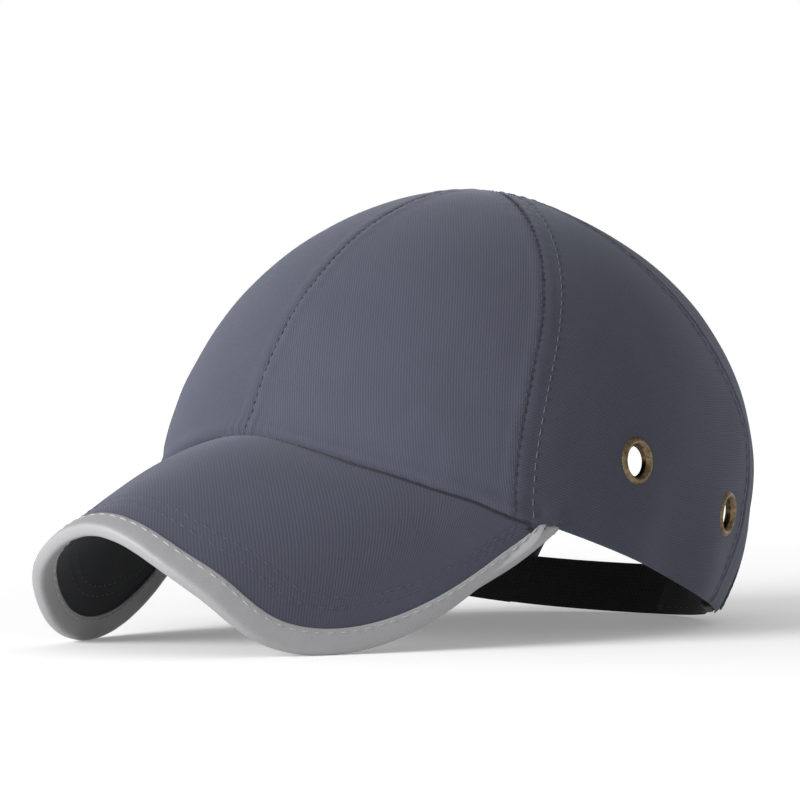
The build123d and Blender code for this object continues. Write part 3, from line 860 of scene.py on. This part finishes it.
fold_rings = folded_over(FOLD)
fold_waves = 0.12 * ripple(fold_rings, 9, 31)[..., None] * (0, 1, 0)
fold_run, fold_around = np.arange(len(sweep))[:, None] * 1.2, np.arange(len(FOLD))[None] * 1.3
fold_weave = np.stack(np.broadcast_arrays(fold_run, fold_around, 0), -1)
make_tube(
    "opening_binding_cloth", fold_rings + fold_waves, binding_cloth, "cap", "opening_binding",
    weave=fold_weave, stands_for=["opening_binding"], sharp=60,
)
fold_row = folded_over([(5.4, -0.78)])[:, 0]
outward = to_crown(fold_row)
outward = to_world(outward + crown.normal(outward)) - fold_row
make_stitches(
    "opening_stitches", fold_row, outward, slate_thread, "cap", "opening_binding", thick=0.3, sink=0.26
)


# ---------------- visor
def visor_sheet(name, outer_over, inner_over, material, slot):
    """One cloth face of the visor, from inside the crown's seam to the brim."""
    start = visor_start(outer_over, 0.55)
    reach = start[:, None] + (visor_long - start)[:, None] * np.linspace(0, 1, 56)
    outer = visor_at(reach, outer_over)
    from_edge = (visor_long[:, None] - reach) * visor_square[:, None]
    dents = sum(np.exp(-(((from_edge - row) / 0.9) ** 2)) for row in VISOR_ROWS)
    soft = 0.1 * ripple(outer, 24, 14) - 0.16 * dents
    outer = outer + visor_up[:, None] * (soft * np.sign(outer_over))[..., None]
    inner = visor_at(reach, inner_over)
    weave = np.stack([np.broadcast_to(visor_run[:, None], reach.shape), reach, 0 * reach], -1)
    obj = make_layer(name + "_cloth", outer, inner, material, "cap", slot, weave=weave, stands_for=[name])


middle_line = visor_root + visor_reach * (0.6 * visor_long)[:, None]
visor_run = np.concatenate([[0], np.cumsum(np.linalg.norm(np.diff(middle_line, axis=0), axis=1))])
visor_sheet("visor_top_cover", VISOR_TOP, VISOR_CLOTH_INNER, visor_twill, "visor_twill")
visor_sheet("visor_bottom_cover", VISOR_BOTTOM, -VISOR_CLOTH_INNER, lining, "visor_lining")
board_start = visor_start(0.0, 1.3)[:, None]
board_reach = board_start + (visor_long[:, None] - 0.4 - board_start) * np.linspace(0, 1, 50)
make_layer(
    "visor_board_plate", visor_at(board_reach, VISOR_BOARD), visor_at(board_reach, -VISOR_BOARD),
    board_plastic, "cap", "visor_board", stands_for=["visor_board"],
)

room = visor_long - visor_start(VISOR_TOP, 0.9)
EDGE_FOLD = np.array([
    (8.0, 1.75), (8.0, 2.1), (7.75, 2.26), (7.0, 2.3), (5.5, 2.34), (4.0, 2.36), (2.5, 2.34), (1.2, 2.3),
    (0.35, 2.2), (-0.2, 1.8), (-0.46, 1.1), (-0.52, 0.1), (-0.46, -0.9), (-0.2, -1.6), (0.35, -2.0),
    (1.2, -2.1), (2.5, -2.14), (4.0, -2.16), (5.5, -2.14), (7.0, -2.1), (7.75, -2.06), (8.0, -1.9),
    (8.0, -1.55), (0.3, -1.55), (0.3, 1.75),
])
inset = np.minimum(EDGE_FOLD[:, 0] / visor_square[:, None], room[:, None])
edge_rings = visor_at(visor_long[:, None] - inset, EDGE_FOLD[:, 1])
creases = 0.07 * ripple(edge_rings, 6.5, 17)[..., None] * visor_up[:, None]
around = np.cumsum(np.linalg.norm(np.diff(EDGE_FOLD, axis=0, prepend=EDGE_FOLD[:1]), axis=1))
edge_run = np.concatenate([[0], np.cumsum(np.linalg.norm(np.diff(visor_edge, axis=0), axis=1))])
edge_weave = np.stack(np.broadcast_arrays(edge_run[:, None], around[None], 0), -1)
make_tube(
    "visor_binding_cloth", edge_rings + creases, reflective, "cap", "reflective_binding",
    weave=edge_weave, stands_for=["visor_binding"], sharp=60,
)

COARSE = {"long": 3.0, "gap": 1.3, "thick": 0.5}
for name, inset_by, over, material, facing, sizes in (
    ("binding_stitches_top", 6.4, 2.34, grey_thread, 1, COARSE),
    ("binding_stitches_bottom", 6.4, -2.14, grey_thread, -1, COARSE),
    ("visor_outer_row_top", VISOR_ROWS[0], 1.7, visor_thread, 1, {}),
    ("visor_inner_row_top", VISOR_ROWS[1], 1.7, visor_thread, 1, {}),
    ("visor_outer_row_bottom", VISOR_ROWS[0], -1.5, black_thread, -1, {}),
    ("visor_inner_row_bottom", VISOR_ROWS[1], -1.5, black_thread, -1, {}),
):
    fits = room > inset_by / visor_square + 2
    row = visor_at(visor_long - inset_by / visor_square, over)[fits]
    slot = "reflective_binding" if name.startswith("binding") else "visor_twill"
    make_stitches(name, row, visor_up[fits] * facing, material, "cap", slot, sink=0.17, **sizes)

# A dark cord of painted shadow, standing in for the shade in the crease between the visor and the crown, as
# far as the binding's ends
CREASE_RADIUS = 0.5
creased = room > 7
crease_up = visor_up[creased][:, None]
crease_out = unit(np.cross(crease_up, unit(np.gradient(join[creased], axis=0))[:, None]))
crease_turns = (np.arange(8) * math.pi / 4)[:, None]
crease_ring = np.cos(crease_turns) * crease_out + np.sin(crease_turns) * crease_up
crease_rings = join[creased][:, None] + CREASE_RADIUS * crease_ring
make_tube("visor_join_painted_shadow", crease_rings, painted_crease_shadow, "cap", "visor_twill", sharp=80)


# ---------------- strap
def make_band(name, span, depths, material, body, slot, inset=0.0, round_end=0):
    """A length of strap round the back of the crown, between two places across it and two depths."""
    low, high = span
    x = np.linspace(low, high, max(int(abs(high - low)), 6) + 1)
    share = np.linspace(0, 1, 15)
    narrow = np.ones(len(x))
    if round_end:
        near = np.abs(x - (high if round_end > 0 else low))
        narrow = np.sqrt(np.clip(1 - np.clip(1 - near / 5, 0, 1) ** 2, 0.35, 1))
    z = np.full((15, len(x)), 8.0)
    for _ in range(6):
        floor = rim_height(back_at(np.broadcast_to(x, z.shape), z, depths[0]))
        middle = floor + STRAP_HIGH / 2
        z = middle + (share[:, None] - 0.5) * (STRAP_HIGH - 0.4 - 2 * inset) * narrow
    outer, inner = (back_at(np.broadcast_to(x, z.shape), z, depth) for depth in depths)
    make_layer(
        name + "_cloth", outer, inner, material, body, slot, weave=grid_weave(outer), stands_for=[name]
    )
    return outer, inner


LONG_DEPTH = CLOTH + TRIM
HOOK_DEPTH = LONG_DEPTH + WEB
LOOP_DEPTH = HOOK_DEPTH + PILE + STRAP_GAP
SHORT_DEPTH = LOOP_DEPTH + PILE
# Gap that keeps two faces out of one plane
HAIR = 0.02
web_depths = (LONG_DEPTH, HOOK_DEPTH - HAIR)
long_outer, long_inner = make_band(
    "strap_long", (HINGE + 0.2, LONG_END), web_depths, webbing, "long_strap", "strap_web", round_end=1
)
make_band("strap_root_right", (-ROOT_END, HINGE - 0.2), web_depths, webbing, "cap", "strap_web")
make_band(
    "strap_hook_patch", (4, LONG_END - 1.5), (HOOK_DEPTH, HOOK_DEPTH + PILE), hook_pile,
    "long_strap", "hook_pile", inset=1.2,
)
make_band(
    "strap_root_left", (OPENING_HALF, ROOT_END), (LONG_DEPTH, SHORT_DEPTH - HAIR), webbing,
    "cap", "strap_web",
)
short_outer, short_inner = make_band(
    "strap_short", (SHORT_END, ROOT_END), (SHORT_DEPTH, SHORT_DEPTH + WEB), webbing,
    "cap", "strap_web", round_end=-1,
)
make_band(
    "strap_loop_patch", (SHORT_END + 1.5, OPENING_HALF - 4), (LOOP_DEPTH, SHORT_DEPTH - HAIR), loop_pile,
    "cap", "loop_pile", inset=1.2,
)

for row, name in ((2, "lower"), (12, "upper")):
    for strap, body, at, below, part in (
        ("long", "long_strap", long_outer, long_inner, slice(2, -4)),
        ("short", "cap", short_inner, short_outer, slice(4, -2)),
    ):
        up = unit(at[row] - below[row])
        make_stitches(
            f"{strap}_strap_{name}_stitches", at[row, part], up[part], black_thread, body, "strap_web",
            sink=0.05,
        )


# ---------------- insert
CHANNELS = 3


def make_pad(name, grid_at, across):
    """A foam pad against the shell: full in the middle, rounded at its edges, with pressed channels."""
    u, v = np.meshgrid(np.linspace(0, 1, 61), np.linspace(0, 1, 45))
    edge = (1 - np.abs(2 * u - 1) ** 9) * (1 - np.abs(2 * v - 1) ** 8)
    channel = sum(np.exp(-(((u - (k + 1) / (CHANNELS + 1)) / 0.022) ** 2)) for k in range(CHANNELS))
    body = 0.55 + 4.2 * np.sqrt(np.clip(edge, 0, 1)) * (1 - 0.4 * channel * np.clip(edge * 1.5, 0, 1))
    wide = 0.985 + 0.015 * edge
    u, v = 0.5 + (u - 0.5) * wide, 0.5 + (v - 0.5) * wide
    body = body + 0.12 * ripple(np.stack([u * 60, v * 40, 0 * u], -1), 13, len(name))
    a = across[0] + (across[1] - across[0]) * u
    b = PAD_HEIGHTS[0] + (PAD_HEIGHTS[1] - PAD_HEIGHTS[0]) * v
    outer, inner = (to_world(grid_at(a, b, SHELL_WALL + over)) for over in (0.05, body))
    obj = make_layer(
        name + "_foam", outer, inner, pad_cloth, "insert", "pad_foam",
        weave=grid_weave(inner), stands_for=[name],
    )


make_pad("front_pad", lambda x, h, d: insert.patch(x, h, -1, d), (-32, 32))
make_pad("back_pad", lambda x, h, d: insert.patch(x, h, 1, d), (-30, 30))
make_pad("side_pad_left", lambda y, h, d: insert.flank(y, h, 1, d), (-26, 34))
make_pad("side_pad_right", lambda y, h, d: insert.flank(y, h, -1, d), (-26, 34))

radii, angles = np.meshgrid(np.linspace(0, 1, 40), np.linspace(0, 2 * math.pi, 97), indexing="ij")
swell = np.sqrt(np.clip(1 - radii**8, 0, 1)) * (1 - 0.35 * np.exp(-(((radii - 0.55) / 0.03) ** 2)))
PAD_RADIUS = 35.6
disc_x, disc_y = PAD_RADIUS * radii * np.cos(angles), APEX_Y + PAD_RADIUS * radii * np.sin(angles)
disc = np.stack([disc_x, disc_y, 98 - 16 * radii**2], -1)
top_outer = insert.settle(disc, SHELL_WALL + 0.05)
top_inner = insert.settle(disc - (0, 0, 4), 7.0)
way = top_inner - top_outer
top_inner = top_outer + way * (0.12 + 0.85 * swell)[..., None]
crown_pad = make_layer(
    "crown_pad_foam", to_world(top_outer), to_world(top_inner), pad_cloth, "insert", "pad_foam",
    weave=disc * (1, 1, 0), stands_for=["crown_pad"],
)

TABS = [(x, end) for x in (-44, 26) for end in (-1, 1)]


def make_tabs(name, outer_at, inner_at, material, body, slot):
    """Four small fastener patches, two at the front of the insert and two at its back."""
    points, faces, woven = [], [], []
    for x, end in TABS:
        xs, hs = np.meshgrid(np.linspace(x + 0.2, x + TAB_WIDTH - 0.2, 25), np.linspace(*TAB_HEIGHTS, 23))
        outer, inner = to_world(outer_at(xs, hs, end)), to_world(inner_at(xs, hs, end))
        made, cells, weave = layer(outer, inner, weave=grid_weave(outer))
        cells = [[i + sum(map(len, points)) for i in cell] for cell in cells]
        points, faces, woven = points + [made], faces + cells, woven + [weave]
    points, woven = np.concatenate(points), np.concatenate(woven)
    make_object(name + "_pile", points, faces, material, body, slot, woven, [name])


make_tabs(
    "insert_hook_tabs",
    lambda x, h, e: insert.patch(x, h, e, -1.15), lambda x, h, e: insert.patch(x, h, e, -0.03),
    hook_pile, "insert", "hook_pile",
)
make_tabs(
    "crown_loop_tabs",
    lambda x, h, e: crown.patch(x, h, e, CLOTH + 0.6), lambda x, h, e: insert.patch(x, h, e, -1.55),
    loop_pile, "cap", "loop_pile",
)

for node, material in {
    "eyelets": brass,
    "eyelet_washers": brass,
    "bump_shell": shell_plastic,
    "shell_edge_trim": rubber,
}.items():
    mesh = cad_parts[node].data
    mesh.materials.clear()
    mesh.materials.append(material)

# ---------------- floor, light and camera
floor_mesh = bpy.data.meshes.new("floor")
REACH = 9
corners = [(-REACH, -REACH, 0), (REACH, -REACH, 0), (REACH, REACH, 0), (-REACH, REACH, 0)]
floor_mesh.from_pydata(corners, [], [(0, 1, 2, 3)])
floor = add_object("floor", floor_mesh)
paper = Nodes("floor paper")
mottle = paper.noise(paper.place(), 60)
paper.finish(paper.between(mottle, 0.3, 0.7, (0.93, 0.93, 0.93), (0.96, 0.96, 0.96)), 0.9)
paper.shader.inputs["Specular IOR Level"].default_value = 0.1
paper.shader.inputs["Emission Color"].default_value = (1, 1, 1, 1)
away = paper.add("VectorMath", {0: paper.place()}, operation="LENGTH").outputs["Value"]
# The paper glows a little more away from the cap, so that it turns white as it does in the photo
glow_range = {"From Min": 180, "From Max": 1100, "To Min": 0.2, "To Max": 0.55}
glow = paper.add("MapRange", {"Value": away, **glow_range})
paper.tree.links.new(glow.outputs[0], paper.shader.inputs["Emission Strength"])
floor_mesh.materials.append(paper.material)

world = bpy.data.worlds.new("studio")
world.use_nodes = True
sky = world.node_tree.nodes
split = sky.new("ShaderNodeSeparateXYZ")
dim = sky.new("ShaderNodeMapRange")
for key, value in {"From Min": 0.1, "From Max": 0.5, "To Min": 1.0, "To Max": 0.42}.items():
    dim.inputs[key].default_value = value
world.node_tree.links.new(sky.new("ShaderNodeTexCoord").outputs["Generated"], split.inputs[0])
world.node_tree.links.new(split.outputs["Z"], dim.inputs["Value"])
world.node_tree.links.new(dim.outputs[0], sky["Background"].inputs["Strength"])
sky["Background"].inputs["Color"].default_value = (1, 1, 1, 1)
bpy.context.scene.world = world
bpy.context.scene.view_settings.view_transform = "Standard"


def add_aimed(name, data, place, aim):
    """A light or camera at a place, looking at another."""
    obj = add_object(name, data)
    obj.location = place
    obj.rotation_mode = "QUATERNION"
    obj.rotation_quaternion = (Vector(aim) - Vector(place)).to_track_quat("-Z", "Y")
    return obj


light = bpy.data.lights.new("key", "AREA")
light.shape, light.size, light.size_y, light.energy = "RECTANGLE", 1.0, 0.8, 52
add_aimed("key", light, (-0.3, -1.9, 0.62), (0, 0, 0.06))

# Fitted to the photo together with the crown
lens = bpy.data.cameras.new("camera")
lens.lens = 257.55
camera = add_aimed("camera", lens, (1.20837, -1.34299, 0.12262), (-0.00783, 0.00682, 0.07315))
bpy.context.scene.camera = camera
